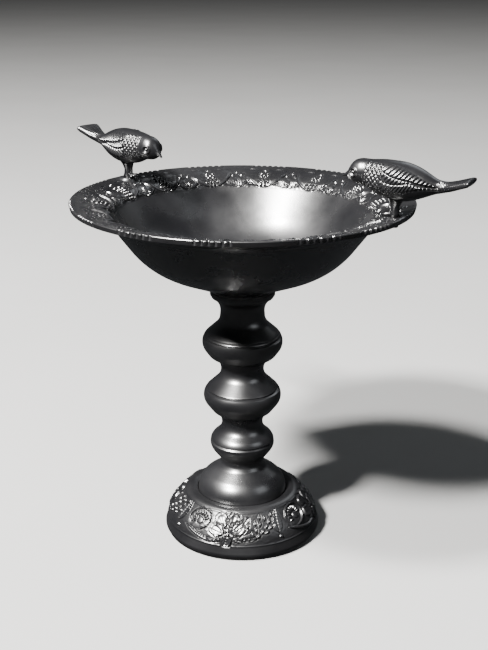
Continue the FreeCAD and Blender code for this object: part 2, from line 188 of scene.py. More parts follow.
def swept(section, segments):
    """Grid of points: a section turned about Z. It is (rows, 2), or (rows, segments, 2) where it varies."""
    section = np.asarray(section)
    if section.ndim == 2:
        section = np.repeat(section[:, None, :], segments, axis=1)
    around = azimuths(segments)[None, :]
    radius, height = section[..., 0], section[..., 1]
    return np.stack([radius * np.sin(around), -radius * np.cos(around), height], -1)


def turned(name, section, segments):
    """Ring-shaped body: a closed section, anticlockwise with radius to the right, turned about Z."""
    grid = swept(section, segments)
    return add_mesh(name, grid.reshape(-1, 3), grid_faces(len(grid), segments, True))


def turned_disc(name, section, segments):
    """Body without a hole: the section starts and ends on the axis."""
    grid = swept(section[1:-1], segments)
    rows = len(grid)
    vertices = grid.reshape(-1, 3).tolist()
    faces = grid_faces(rows, segments, False)
    for row, point, flipped in ((0, section[0], True), (rows - 1, section[-1], False)):
        pole = len(vertices)
        vertices.append((0, 0, point[1]))
        for j in range(segments):
            here, following = row * segments + j, row * segments + (j + 1) % segments
            faces.append((pole, following, here) if flipped else (here, following, pole))
    return add_mesh(name, vertices, faces)


def outward(section):
    """Unit normals of a run of section points, away from the material."""
    tangent = np.gradient(section, axis=0)
    normal = np.column_stack([tangent[:, 1], -tangent[:, 0]])
    return normal / np.linalg.norm(normal, axis=1)[:, None]


def set_relief(obj, values):
    """Store how proud each vertex stands, 0 in the ground to 1 on top, for the paint's wear and dust."""
    attribute = obj.data.attributes.new("relief", "FLOAT", "POINT")
    attribute.data.foreach_set("value", np.clip(np.ravel(values), 0, 1).astype(np.float32))


# ---------------------------------------------------------------- relief ornament
# A relief is a height field in millimetres over a plane of u (around) and v (across). A stamp cuts a
# narrow groove round its own shape and then raises it, so a shape that comes later lies on top.

# What counts as the distance inside a stroke for all points that are well clear of it.
FAR_OUTSIDE = -50.0

GRAIN_WAVES = 14

# How proud a plain surface counts as for the paint: not polished, and with hardly any dust. An ornament's
# height over its SPAN is added to the value of its ground.
PLAIN_RELIEF = 0.35


def ease(x):
    """Smooth step from 0 to 1."""
    x = np.clip(x, 0, 1)
    return x * x * (3 - 2 * x)


def local(u, v, at, degrees):
    """Coordinates along and across a shape that starts at a point and points at an angle."""
    c, s = math.cos(math.radians(degrees)), math.sin(math.radians(degrees))
    return (u - at[0]) * c + (v - at[1]) * s, (v - at[1]) * c - (u - at[0]) * s


def stamp(height, inside, top, edge=1.7, groove=1.6, depth=0.5):
    """Lay a shape on the relief. Inside is the distance in from its border, negative outside it."""
    moat = ease(1 + inside / groove)
    sunk = height * (1 - moat) - depth * moat * (inside < 0)
    raised = top * ease(inside / edge)
    return np.where(inside > 0, np.maximum(raised, 0) - depth * (1 - ease(inside / edge)), sunk)


def oval(height, u, v, at, size, degrees, top, crown=0.6, **how):
    """Domed oval, such as a bead, a berry or a grain."""
    along, across = local(u, v, at, degrees)
    q = np.hypot(along / size[0], across / size[1])
    dome = top * (1 - crown + crown * np.sqrt(np.clip(1 - q * q, 0, 1)))
    return stamp(height, (1 - q) * min(size), dome, **how)


def leaf(height, u, v, base, degrees, length, width, top, bend, veins=6):
    """Pointed leaf with a sunken midrib and side veins. It bends sideways by bend times its length."""
    along, across = local(u, v, base, degrees)
    t = along / length
    across = across - bend * length * np.clip(t, 0, 1) ** 2
    half = width / 2 * np.sin(math.pi * np.clip(t, 0, 1) ** 0.8) ** 0.75
    beyond = np.hypot(np.maximum(-t, t - 1), 0.2) * length
    inside = np.where((t > 0) & (t < 1), half - np.abs(across), -beyond)
    q = np.clip(np.abs(across) / np.maximum(half, 0.4), 0, 1)
    rib = 0.35 * np.exp(-((across / 0.7) ** 2))
    side_veins = 0.09 * np.cos(2 * math.pi * (veins * t - 1.1 * q)) * (q < 0.92) * (q > 0.12)
    return stamp(height, inside, top * (0.72 + 0.28 * q - rib + side_veins))


def stroke(height, u, v, points, width, top, taper=(0.35, 0.35)):
    """Round stem along a smooth curve through the points, thinner towards its ends."""
    points = np.asarray(points, float)
    fine = np.linspace(0, len(points) - 1, 24 * len(points))
    curve = np.column_stack([smooth_through(fine, np.arange(len(points)), points[:, k]) for k in range(2)])
    t = np.linspace(0, 1, len(curve))
    half = width / 2 * np.minimum(1, np.minimum(taper[0] + 4 * t, taper[1] + 4 * (1 - t)))
    near = np.abs(u - curve[:, 0].mean()) < np.ptp(curve[:, 0]) / 2 + width * 2
    inside = np.full(u.shape, FAR_OUTSIDE)
    cells = np.nonzero(near)
    gap = np.hypot(u[cells][:, None] - curve[:, 0], v[cells][:, None] - curve[:, 1])
    inside[cells] = (half[None, :] - gap).max(axis=1)
    body = np.sqrt(np.clip(1 - (1 - np.clip(inside / (width / 2), 0, 1)) ** 2, 0, 1))
    return stamp(height, inside, top * body)


def petal(height, u, v, at, size, degrees, centre, top, rings, **how):
    """Lobe of a flower with a rolled border, radial veins from the flower's centre, and rings."""
    along, across = local(u, v, at, degrees)
    angle = np.arctan2(across, along)
    q = np.hypot(along / size[0], across / size[1]) * (1 + 0.05 * np.cos(5 * angle))
    spread = np.arctan2(v - centre[1], u - centre[0])
    veins = 0.07 * np.cos(spread * 22) * ease((0.92 - q) * 4)
    bands = rings * np.cos(q * 15) * (q < 0.9)
    body = top * (0.62 + 0.38 * ease((q - 0.35) / 0.5) + veins + bands)
    return stamp(height, (1 - q) * min(size), body, **how)


def grain(u, v, seed, size):
    """Soft lumpy noise of about the given size, the same on every run."""
    rng = np.random.default_rng(seed)
    total = np.zeros(u.shape)
    for _ in range(GRAIN_WAVES):
        heading = rng.uniform(0, 2 * math.pi)
        wavelength = size * rng.uniform(0.7, 1.7)
        phase = rng.uniform(0, 2 * math.pi)
        total += np.sin(2 * math.pi * (u * math.cos(heading) + v * math.sin(heading)) / wavelength + phase)
    return total / GRAIN_WAVES ** 0.5


# ---------------------------------------------------------------- rim of the bowl

RIM_REPEATS = 15
RIM_COLUMNS = 84
RIM_REFERENCE = 230
RIM_PHASE = 2.5
BORDER_LINE = 71
RELIEF_STEP = 1.2
RIM_RELIEF = 0.33
RIM_SPAN = 3.6

# How far down the bowl's wall the rim's mesh meets the dish's, from the band inside and the cove outside.
SPLIT_INSIDE = 18
SPLIT_OUTSIDE = 8.6

# Stretches of the outer edge that are notched, in degrees, and the notches' pitch along the edge.
NOTCHED = [(-85, -70), (-64, -52), (-41, -27), (-15, -2.5), (15.5, 30.5), (38, 51.5), (62, 76), (88, 101)]
NOTCHED += [(113, 127), (139, 152), (163, 176), (188, 202), (213, 226), (238, 252)]
NOTCH_PITCH = 10.5
NOTCH_DEPTH = 2.4


def rim_ornament(u, v):
    """One repeat of the rim's ornament. u is 0 at its middle, and v is the distance in from the edge."""
    side = 2 * math.pi * RIM_REFERENCE / RIM_REPEATS / 2
    height = 0.22 * grain(u, v, 3, 9)
    # a low mound on each side of the middle, with a long pad near the edge
    for sign in (-1, 1):
        height = np.maximum(height, 1.5 * ease(1 - np.hypot((u - sign * 22) / 20, (v - 25) / 15)))
        height = oval(height, u, v, (sign * 21, 18), (10, 3.6), sign * -6, 1.6, edge=3, depth=0.2)
    # a wavy line round the band's inner border
    border = 1.4 * np.exp(-(((v - BORDER_LINE - 2.2 * np.cos(2 * math.pi * u / side)) / 1.5) ** 2))
    height = np.maximum(height, border)
    # at each join of two repeats three leaves and three beads, and a long blade from there to the middle
    for sign in (-1, 1):
        middle = sign * side
        for lean, length in ((58, 24), (-58, 24), (0, 21)):
            bend = math.copysign(0.1, lean)
            height = leaf(height, u, v, (middle, 73), -90 + lean, length, 9.5, 2.0, bend=bend)
        height = oval(height, u, v, (middle + sign * -8, 42), (4.2, 4.8), 90, 2.1)
        height = oval(height, u, v, (middle + sign * 8, 42), (4.2, 4.8), 90, 2.1)
        height = oval(height, u, v, (middle, 33), (2.6, 3.4), 90, 1.6)
        blade = [(sign * 37, 33), (sign * 34, 47), (sign * 27, 59), (sign * 17, 67), (sign * 8, 72)]
        height = stroke(height, u, v, blade, 6.0, 2.5, taper=(0.15, 0.5))
    # a cluster of berries down the middle, and three beads between it and the edge
    rows = [
        (69, (-3.4, 3.4)),
        (63, (-9.5, -3.2, 3.2, 9.5)),
        (56.5, (-7, 0, 7)),
        (50, (-4, 4)),
        (44, (-6.5, 0, 6.5)),
    ]
    for across, places in rows:
        for place in places:
            height = oval(height, u, v, (place, across), (3.5, 3.2), 90, 2.3)
    for place in (-5.6, 5.6):
        height = oval(height, u, v, (place, 36.5), (4.4, 2.9), 90 + place * 2, 2.2)
    return oval(height, u, v, (0, 24), (4.0, 3.0), 90, 2.2)


def rim_inner_point():
    """Where the rim's mesh meets the dish's, inside the bowl."""
    down = unit(np.subtract(INSIDE_CORNER, BAND_INNER))
    return np.array(BAND_INNER) + SPLIT_INSIDE * down


def rim_outer_point():
    """Where the rim's mesh meets the dish's, outside the bowl."""
    down = unit(np.subtract(DISH_CORNER, COVE))
    return np.array(COVE) + SPLIT_OUTSIDE * down


def make_rim():
    """Decorated rim, from the bowl's wall out to the notched edge and back."""
    segments = RIM_REPEATS * RIM_COLUMNS
    under = outline([tuple(rim_outer_point()), (*COVE, COVE_ROUND), LIP_UNDER], arc_step=4)
    corners = [LIP_UNDER, (RIM_RADIUS, RIM_TOP, 2), (*BAND_INNER, BAND_ROUND), tuple(rim_inner_point())]
    whole = outline(corners, arc_step=1)
    edge = int(np.argmax(whole[:, 0]))
    lip = spaced(whole[: edge + 1], 2.2)[1:-1]
    top = spaced(whole[edge:], RELIEF_STEP)
    across = lengths(top)
    around = np.degrees(azimuths(segments))
    half_repeat = 180 / RIM_REPEATS
    u_degrees = (around - RIM_PHASE + half_repeat) % (360 / RIM_REPEATS) - half_repeat
    u = np.radians(u_degrees)[None, :] * RIM_REFERENCE + 0 * across[:, None]
    v = across[:, None] + 0 * u
    height = rim_ornament(u, v) * ease((v - 1) / 5) * ease((across[-1] - 1 - v) / 3)
    relief = height.copy()
    notch = notches(around)
    height = height - 0.9 * notch[None, :] * ease((9 - v) / 6)
    grid_top = top[:, None, :] + outward(top)[:, None, :] * height[..., None]
    grid_top[..., 0] -= NOTCH_DEPTH * notch[None, :] * ease((7 - v) / 7)
    grid_lip = np.repeat(lip[:, None, :], segments, axis=1)
    grid_lip[..., 0] -= NOTCH_DEPTH * notch[None, :] * np.linspace(0.55, 1, len(lip))[:, None]
    raise_perches(grid_top, segments)
    grid_under = np.repeat(under[:, None, :], segments, axis=1)
    section = np.concatenate([grid_under, grid_lip, grid_top])
    obj = turned("bowl_rim", section, segments)
    flat = np.full((len(under) + len(lip), segments), PLAIN_RELIEF)
    set_relief(obj, np.concatenate([flat, RIM_RELIEF + relief / RIM_SPAN]))
    return obj


def notches(around):
    """Depth of the edge's notches from 0 to 1 at each azimuth."""
    signed = (around + 180) % 360 - 180
    depth = np.zeros(len(around))
    for first, last in NOTCHED:
        first, last = ((a + 180) % 360 - 180 for a in (first, last))
        span = (last - first) % 360
        into = (signed - first) % 360
        count = round(math.radians(span) * RIM_RADIUS / NOTCH_PITCH)
        wave = 0.5 - 0.5 * np.cos(2 * math.pi * count * into / span)
        depth = np.maximum(depth, np.where(into < span, ease((wave - 0.45) / 0.4), 0))
    return depth


# Where each bird stands on the rim: distance from the axis, azimuth and heading about +Z from +X, and
# the pitch of its body, nose down when positive.
BIRDS = {
    "left_bird": {"distance": 257, "azimuth": 140.5, "heading": -44, "pitch": 3},
    "right_bird": {"distance": 260, "azimuth": -29.5, "heading": 153, "pitch": -3},
}
HIP_HEIGHT = 26
PAD_RADIUS = 12
PAD_BLEND = 7


def standing_point(bird):
    """Where a bird's foot stands on the rim, as (x, y)."""
    angle = math.radians(bird["azimuth"])
    return bird["distance"] * math.cos(angle), bird["distance"] * math.sin(angle)


def raise_perches(grid, segments):
    """Lift the rim's top to a flat seat under each bird's foot."""
    around = azimuths(segments)[None, :]
    x = grid[..., 0] * np.sin(around)
    y = -grid[..., 0] * np.cos(around)
    for bird in BIRDS.values():
        place = standing_point(bird)
        gap = np.hypot(x - place[0], y - place[1])
        share = ease((PAD_RADIUS + PAD_BLEND - gap) / PAD_BLEND)
        grid[..., 1] += share * (RIM_TOP - grid[..., 1])


# ---------------------------------------------------------------- dish of the bowl

DISH_SEGMENTS = 420


def make_dish():
    """Smooth dish with its seat and the hollow plug below it."""
    wall_inside = [tuple(rim_inner_point()), (*INSIDE_CORNER, INSIDE_ROUND)]
    floor = [(*DISH_FLOOR, DISH_FLOOR_ROUND), (0, DISH_FLOOR[1])]
    skirt = [(54.5, 430.8), (66, 438.2, 25)]
    wall_outside = [(*DISH_CORNER, DISH_ROUND), tuple(rim_outer_point())]
    plug = [(0, SEAT_HEIGHT), (21, SEAT_HEIGHT), (21, 407), (25.5, 407)]
    plug += [(PLUG_RADIUS, 408.5), (PLUG_RADIUS, SEAT_HEIGHT)]
    seat = [(54, SEAT_HEIGHT), (54.5, SEAT_HEIGHT + 0.3)]
    outside = outline(skirt + wall_outside, arc_step=3)
    inside = outline(wall_inside + floor, arc_step=3)
    return turned_disc("bowl_dish", np.vstack([plug, seat, outside, inside]), DISH_SEGMENTS)


# ---------------------------------------------------------------- foot

FOOT_REPEATS = 4
FOOT_COLUMNS = 218
FOOT_REFERENCE = 118
FLOWER_AZIMUTH = -11
JOIN_AZIMUTH = -60
FRIEZE_STEP = 0.95
FRIEZE_TOP = 67
FRIEZE_SCALE = 0.85
FRIEZE_SPAN = 5.5


def along_frieze(degrees):
    """Distance around the foot from the flower's middle, for an azimuth of the front repeat."""
    return math.radians(degrees - FLOWER_AZIMUTH) * FOOT_REFERENCE


def frieze_points(points):
    """The same points with each azimuth turned into a distance along the frieze."""
    return [(along_frieze(azimuth), v) for azimuth, v in points]


def foot_ornament(u, v):
    """One quarter of the foot's frieze: scroll, swag, veined leaf, five-petalled flower and grain spray."""
    ground = (v > 8) & (v < 63)
    height = 0.25 * grain(u, v, 5, 8) * ground
    for row, size in ((8.5, 0.9), (64, 0.7)):
        height = np.maximum(height, size * np.exp(-(((v - row) / 1.3) ** 2)))
    # upright veined leaf at the join of two repeats
    for azimuth in (JOIN_AZIMUTH, JOIN_AZIMUTH + 360 / FOOT_REPEATS):
        at = (along_frieze(azimuth), 24)
        height = leaf(height, u, v, at, 84, 41, 19, 2.6, bend=-0.06, veins=9)
        height = oval(height, u, v, (at[0] + 3, 17), (3.2, 4.4), 60, 2.2)
    # shell scroll: flutes round a hub, inside a raised outer line
    hub = (along_frieze(-38), 41)
    flute_reach = 12.5
    for k in range(9):
        angle = 200 - 22 * k
        c, s = math.cos(math.radians(angle)), math.sin(math.radians(angle))
        place = (hub[0] + flute_reach * c, hub[1] + flute_reach * s)
        height = oval(height, u, v, place, (6.6, 2.5), angle, 3.0)
    height = oval(height, u, v, hub, (7.4, 7.0), 0, 2.6, crown=0.8)
    outer = [(-47, 30), (-49.5, 44), (-46, 56), (-38, 62), (-31, 58)]
    outer += [(-28.5, 46), (-31, 34), (-37, 26), (-44, 24)]
    height = stroke(height, u, v, frieze_points(outer), 4.2, 3.0)
    # swag that carries the scroll, low along the frieze
    swag = [(-50, 27), (-44, 22.5), (-36, 17.5), (-27, 14), (-18, 16.5), (-14, 20)]
    height = stroke(height, u, v, frieze_points(swag), 6.5, 3.4)
    # broad leaves behind the flower
    for across, degrees, length, width in ((22, 148, 40, 30), (24, 40, 46, 30), (21, 12, 44, 22)):
        base = (along_frieze(-9), across)
        height = leaf(height, u, v, base, degrees, length, width, 2.3, bend=0.1, veins=4)
    # grain spray to the right of the flower
    stem = frieze_points([(-6, 19), (2, 15.5), (9, 18), (16, 27), (22, 38), (27, 50)])
    height = stroke(height, u, v, stem, 2.6, 2.0)
    upper = [(8.5, 27, 96), (11.5, 34, 88), (11.5, 46, 84), (15.5, 43, 62), (16, 55, 72), (20.5, 52, 66)]
    lower = [(13, 24, 36), (17, 31, 48), (21, 39, 52), (20.5, 29, 30), (24.5, 36, 38), (24, 46, 66)]
    lower += [(27.5, 57, 50)]
    for azimuth, across, angle in upper + lower:
        height = oval(height, u, v, (along_frieze(azimuth), across), (6.0, 2.9), angle, 2.8)
    for azimuth, across, size in ((2, 19, 3.0), (5.5, 20, 3.0), (10, 21, 3.2)):
        height = oval(height, u, v, (along_frieze(azimuth), across), (size, size * 0.85), 20, 2.4)
    # flower
    centre = (0, 27)
    petals = [
        ((-14, 49), (15, 13), 118, 0.0),
        ((8, 50.5), (14, 12.5), 70, 0.0),
        ((-20, 32.5), (14, 11.5), 165, 0.0),
        ((-2, 17), (10.5, 9.5), 268, 0.1),
        ((15, 37), (13.5, 12), 35, 0.1),
    ]
    for at, size, degrees, rings in petals:
        height = petal(height, u, v, at, size, degrees, centre, 3.4, rings, edge=2.6, groove=2.4, depth=1.0)
    return oval(height, u, v, centre, (3.0, 3.0), 0, 4.2, depth=1.0)


def make_foot():
    """Hollow foot casting with its frieze."""
    segments = FOOT_REPEATS * FOOT_COLUMNS
    plinth = outline([(129.5, 0), (133.5, 8, 3), (133.5, 11.5, 0.6), (*FOOT_STEP, 0.8), (131.5, 20)])[:-1]
    whole = outline([FOOT_STEP, (*FOOT_FLANK, 49), (*FOOT_CREST, 14.6), RECESS], arc_step=1)
    along = lengths(whole)
    flank = spaced(whole[along < FRIEZE_TOP + 4], FRIEZE_STEP)[1:]
    crown = spaced(whole[along > FRIEZE_TOP + 4.5], 2)
    crown = np.vstack([crown, [(RECESS[0], LEDGE_HEIGHT), (66, LEDGE_HEIGHT)]])
    underside = [(66, LEDGE_HEIGHT), (66, 56), (84, 56, 4), (92, 67.4, 3), (119, 37.6, 43)]
    underside += [(124.5, 0), (129.5, 0)]
    hollow = outline(underside, arc_step=6)[1:-1]
    across = lengths(flank)
    around = np.degrees(azimuths(segments))
    turn = (around - JOIN_AZIMUTH) % (360 / FOOT_REPEATS) + JOIN_AZIMUTH
    u = np.radians(turn - FLOWER_AZIMUTH)[None, :] * FOOT_REFERENCE + 0 * across[:, None]
    v = across[:, None] + 0 * u
    height = FRIEZE_SCALE * foot_ornament(u, v) * ease((v - 3) / 4) * ease((FRIEZE_TOP - v) / 3)
    grid = flank[:, None, :] + outward(flank)[:, None, :] * height[..., None]
    plain = [np.repeat(part[:, None, :], segments, axis=1) for part in (plinth, crown, hollow)]
    obj = turned("foot_casting", np.concatenate([plain[0], grid, plain[1], plain[2]]), segments)
    levels = [np.full(part.shape[:2], PLAIN_RELIEF) for part in plain]
    set_relief(obj, np.concatenate([levels[0], PLAIN_RELIEF + height / FRIEZE_SPAN, levels[1], levels[2]]))
    return obj


# ---------------------------------------------------------------- column

COLUMN_SEGMENTS = 224

# How deep a seam and a fine line are cut, and how far each reaches up and down.
SEAM_DEPTH = 2.2
SEAM_REACH = 1.6
LINE_DEPTH = 1.2
LINE_REACH = 1.0


def make_column():
    """The four turned castings of the column, each from one seam to the next."""
    whole = outline(OUTLINE, arc_step=1.2)
    inner = [(OUTLINE[0][0] - COLUMN_WALL, LEDGE_HEIGHT - 2)]
    inner += [(corner[0] - COLUMN_WALL, *corner[1:]) for corner in OUTLINE[2:-1]]
    hollow = outline(inner, arc_step=3)
    levels = [LEDGE_HEIGHT, *SEAMS, COLLAR_TOP]
    names = ["bell", "lower_baluster", "middle_baluster", "upper_baluster"]
    pieces = []
    for name, low, high in zip(names, levels, levels[1:]):
        top = COLLAR_FOOT[1] if high == COLLAR_TOP else high
        outside = relieve_seams(spaced(between(whole, low, top), 1.2))
        if high == COLLAR_TOP:
            collar = [COLLAR_FOOT, (53.7, 422.2, 2), (53.7, COLLAR_TOP, 0.8), (43, COLLAR_TOP), (43, 419.5)]
            socket = [(27.5, 419.5), (27.5, 389), (5.5, 389), (5.5, 381), (29.8, 381)]
            outside = np.vstack([outside[:-1], outline(collar, arc_step=0.5), socket])
            ceiling = 380.5
        else:
            ceiling = high
        inside = between(hollow, low, ceiling)[::-1]
        pieces.append(turned(f"{name}_casting", np.vstack([outside, inside]), COLUMN_SEGMENTS))
    return dict(zip(names, pieces))


def relieve_seams(section):
    """Turn the section in at a seam between two castings, and cut the fine lines."""
    for height in SEAMS:
        near = np.clip(1 - np.abs(section[:, 1] - height) / SEAM_REACH, 0, 1)
        section[:, 0] -= SEAM_DEPTH * near ** 0.5
    for height in FINE_LINES:
        near = np.clip(1 - np.abs(section[:, 1] - height) / LINE_REACH, 0, 1)
        section[:, 0] -= LINE_DEPTH * near
    return section


# ---------------------------------------------------------------- birds
# A bird is built facing +X with its foot at the origin. Its torso is one skin round a row of upright
# oval sections, and the feathers are relief on that skin, laid out as seen from the bird's side.

# Sections from the beak's tip to the tail's end: x, centre's height, half width, half height.
TORSO = [
    (87, 48.6, 0.5, 0.5),
    (86, 49.2, 1.6, 1.5),
    (82, 51.8, 3.2, 3.1),
    (78, 54.2, 5.0, 5.2),
    (75.5, 56.0, 8.2, 8.8),
    (72, 57.8, 12.4, 13.2),
    (66.5, 59.2, 16.4, 17.2),
    (58, 60.0, 18.6, 19.4),
    (50, 59.6, 19.0, 20.4),
    (42, 58.0, 20.4, 22.2),
    (33, 56.4, 23.4, 25.0),
    (20, 55.1, 26.8, 27.8),
    (4, 54.1, 28.8, 29.1),
    (-12, 53.8, 28.4, 28.8),
    (-28, 53.8, 25.6, 25.2),
    (-42, 53.8, 21.0, 19.6),
    (-54, 53.6, 16.0, 13.8),
    (-64, 53.8, 12.8, 9.8),
    (-74, 55.0, 13.0, 7.4),
    (-86, 58.4, 16.8, 6.4),
    (-98, 63.0, 20.4, 5.8),
    (-109, 67.1, 23.2, 5.2),
    (-111.5, 68.0, 22.8, 3.4),
]
TORSO_ROWS = 280
TORSO_COLUMNS = 236

# The eye's middle on the head's side as (x, side, height), and how far in from it the eyeball's centre is.
EYE = (64.5, 17.2, 60.0)
EYE_RADIUS = 3.0
EYE_SUNK = 2.6

# How proud the plain torso counts as for the paint, and the legs and eyes.
BIRD_RELIEF = 0.4
BIRD_SPAN = 5
LIMB_RELIEF = 0.5

# Borders of the wing's feather groups from the shoulder to the tail, as (x, height) on the bird's side.
WING_LINES = [
    [(24, 72), (16, 77), (4, 79.5), (-10, 78), (-30, 70.5), (-52, 61), (-66, 55)],
    [(24, 71), (12, 66.5), (0, 62.5), (-14, 60.5), (-26, 59.5), (-40, 56.5), (-66, 54)],
    [(28, 61), (17, 56), (5, 53), (-10, 53.5), (-26, 56.5), (-40, 54.5), (-66, 52.5)],
    [(27, 47), (17, 41.5), (5, 39), (-11, 41), (-26, 46), (-40, 49.5), (-66, 50.5)],
]
WING_BACK = -66
WING_FRONT = 26

# The wing's three panels from the top: the slant of the barbs and their pitch, how far the panel's lower
# border stands up, and how far a barb does.
WING_PANELS = [(0.8, 6.2, 1.0, 2.4), (0.9, 6.2, 0.7, 2.6), (0.9, 6.0, 0.4, 2.4)]


def torso_frame():
    """The torso's plain skin, as grids of x, y and z with a row for each upright section."""
    stations = [np.array(column) for column in zip(*TORSO)]
    places = np.arange(len(TORSO))
    along = np.linspace(0, len(TORSO) - 1, 40 * len(TORSO))
    profile = np.column_stack([np.interp(along, places, stations[k]) for k in (0, 3)])
    reach = lengths(profile)
    rows = np.interp(np.linspace(0, reach[-1], TORSO_ROWS), reach, along)
    x, height, wide, tall = [smooth_through(rows, places, column)[:, None] for column in stations]
    around = azimuths(TORSO_COLUMNS)[None, :]
    # the power of the oval: 2 is an ellipse, and the tail's sections are squarer
    boxy = 2 + 1.2 * ease((-60 - x) / 30)
    c, s = np.cos(around), np.sin(around)
    across = np.sign(s) * np.abs(s) ** (2 / boxy) * wide
    up = np.sign(c) * np.abs(c) ** (2 / boxy) * tall
    return x + 0 * around, across, height + up


def skin_normals(x, y, z):
    """Outward unit normals of a skin whose columns run round it."""
    rows = np.stack([np.gradient(part, axis=0) for part in (x, y, z)], -1)
    turns = np.stack([np.roll(part, -1, 1) - np.roll(part, 1, 1) for part in (x, y, z)], -1)
    normal = np.cross(turns, rows)
    return normal / np.maximum(np.linalg.norm(normal, axis=-1), 1e-9)[..., None]


def wing_line(index, x):
    """Height of one of the wing's borders at x."""
    places = np.array(WING_LINES[index][::-1], float)
    return smooth_through(x, places[:, 0], places[:, 1])


def bead_row(height, x, z, line, pitch, top, first, last):
    """Row of small beads along a border."""
    middle = wing_line(line, x) - 2.0
    phase = (x / pitch) % 1 - 0.5
    q = np.hypot(phase * pitch / 1.35, (z - middle) / 1.15)
    return np.where((x > first) & (x < last), np.maximum(height, top * ease(1.4 - 1.4 * q)), height)


def wing_feathers(x, z, side):
    """The wing's three panels, each a step below the one above, with slanting barbs and beaded borders."""
    height = np.zeros(x.shape)
    lines = [wing_line(k, x) for k in range(4)]
    inside = (x < WING_FRONT) & (x > WING_BACK)
    for k, (slant, pitch, top, barb) in enumerate(WING_PANELS):
        upper, lower = lines[k], lines[k + 1]
        share = np.clip((upper - z) / np.maximum(upper - lower, 0.5), -1, 2)
        within = inside * ease((upper - z) / 1.1) * ease((z - lower) / 1.1)
        phase = (x + slant * (z - lower)) / pitch % 1
        ridge = np.where(phase < 0.68, phase / 0.68, (1 - phase) / 0.32)
        height += within * (top * (0.6 + 0.4 * share) + barb * ridge * ease((z - lower - 0.8) / 2))
        height -= inside * 1.2 * np.exp(-(((z - lower) / 1.0) ** 2)) * side
    height -= inside * 0.8 * np.exp(-(((z - lines[0]) / 1.0) ** 2)) * side
    for line, first, last in ((1, -24, 24), (2, -26, 27), (3, -34, 27)):
        height = bead_row(height, x, z, line, 4.2, 1.1, first, last)
    return height


def shoulder_scales(height, x, z):
    """Lozenge scales on the shoulder, in place of the relief under them."""
    a, b = (x + 0.9 * (z - 60)) / 7.4, (x - 0.9 * (z - 60)) / 7.4
    scale = np.minimum(0.5 - np.abs(a % 1 - 0.5), 0.5 - np.abs(b % 1 - 0.5))
    patch = ease((x - 17) / 3) * ease((43 - x) / 2.5) * ease((z - 42) / 3) * ease((80 - z) / 3)
    return height * (1 - patch) + patch * (0.1 + 1.5 * ease((scale - 0.06) / 0.26))


def collar(height, x, z):
    """Beaded ridge, with a groove before it, where the smooth head meets the feathers."""
    along = x - 46 + 0.12 * (z - 56)
    ridge = np.exp(-(((along + 0.5) / 1.6) ** 2))
    height = height + (1.0 * ridge - 0.6 * np.exp(-(((along - 2.4) / 1.2) ** 2)))
    return height + 0.45 * np.cos(z * 2 * math.pi / 4.6) * ridge


def eye_socket(height, x, z):
    """Sunk socket of the eye, with its raised ring."""
    gap = np.hypot(x - EYE[0], z - EYE[2])
    return height + (1.6 * np.exp(-(((gap - 5.6) / 1.2) ** 2)) - 1.9 * np.exp(-((gap / 3.9) ** 4)))


def tail_feathers(x, y):
    """Long flutes that fan out along the tail, crossed by fine slanting barbs."""
    share = ease((-60 - x) / 8) * ease((x + 110) / 3)
    spread = y / (12 + 12 * ease((-74 - x) / 36))
    flutes = 0.45 * np.cos(spread * 5 * math.pi)
    barbs = 0.18 * np.cos((x + 14 * np.abs(spread)) * 2 * math.pi / 3.4)
    return share * (flutes + barbs)


def feathers(x, y, z):
    """Relief of the plumage. Apart from the tail's, it fades out along the back and the belly."""
    side = ease((np.abs(y) - 5) / 7)
    height = wing_feathers(x, z, side)
    height = shoulder_scales(height, x, z)
    height = collar(height, x, z)
    height = eye_socket(height, x, z)
    return height * side + tail_feathers(x, y)


def capped(rings, first_pole, last_pole):
    """Closed skin over rings of points, with a pole beyond each end, as points and faces."""
    rows, columns = rings.shape[:2]
    points = np.vstack([rings.reshape(-1, 3), [first_pole], [last_pole]])
    faces = grid_faces(rows, columns, False)
    first, last = len(points) - 2, len(points) - 1
    row = (rows - 1) * columns
    for j in range(columns):
        k = (j + 1) % columns
        faces += [(first, k, j), (row + j, row + k, last)]
    return points, faces


def ball(centre, radius, rows=18, columns=28):
    """Closed ball as points and faces."""
    lines = np.linspace(0, math.pi, rows)
    section = np.column_stack([np.sin(lines), -np.cos(lines)])[1:-1]
    points, faces = capped(swept(section, columns), (0, 0, -1), (0, 0, 1))
    return points * radius + np.array(centre), faces


def limb(points, radii, columns=20):
    """Closed round limb through points with a radius at each, as points and faces."""
    points = np.asarray(points, float)
    tangent = np.gradient(points, axis=0)
    tangent /= np.linalg.norm(tangent, axis=1)[:, None]
    side = np.cross(tangent, (0.02, 1, 0.01))
    side /= np.linalg.norm(side, axis=1)[:, None]
    other = np.cross(tangent, side)
    turn = azimuths(columns)
    radii = np.asarray(radii, float)[:, None, None]
    ring = side[:, None, :] * np.cos(turn)[None, :, None] + other[:, None, :] * np.sin(turn)[None, :, None]
    return capped(points[:, None, :] + radii * ring, points[0], points[-1])


